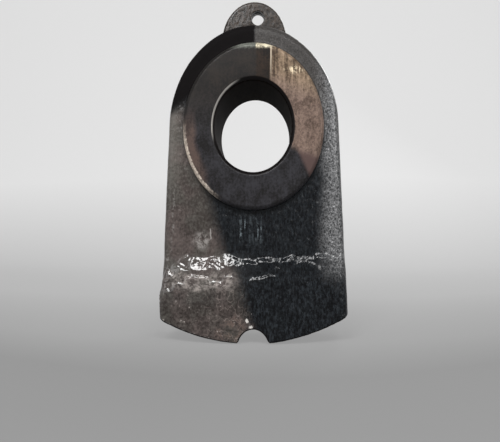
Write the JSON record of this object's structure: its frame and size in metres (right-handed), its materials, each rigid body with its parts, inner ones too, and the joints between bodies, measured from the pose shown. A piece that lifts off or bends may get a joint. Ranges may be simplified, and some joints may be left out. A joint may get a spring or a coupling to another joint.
{
  "type": "crusher hammer",
  "caption": "Cast swing hammer for a rock crusher: round-topped shank with a pin bore and boss, thick notched head and a lifting lug.",
  "frame": {"origin": "centre of the pin bore, halfway through the hammer", "axes": "+X across the hammer, +Y along the pin from the front face to the back face, +Z from the tip towards the lifting lug"},
  "size_m": [0.2798, 0.11, 0.439],
  "materials": {
    "painted_casting": "glossy black paint over rough cast steel skin"
  },
  "bodies": {
    "root": {"hammer": "painted_casting"}
  },
  "joints": []
}
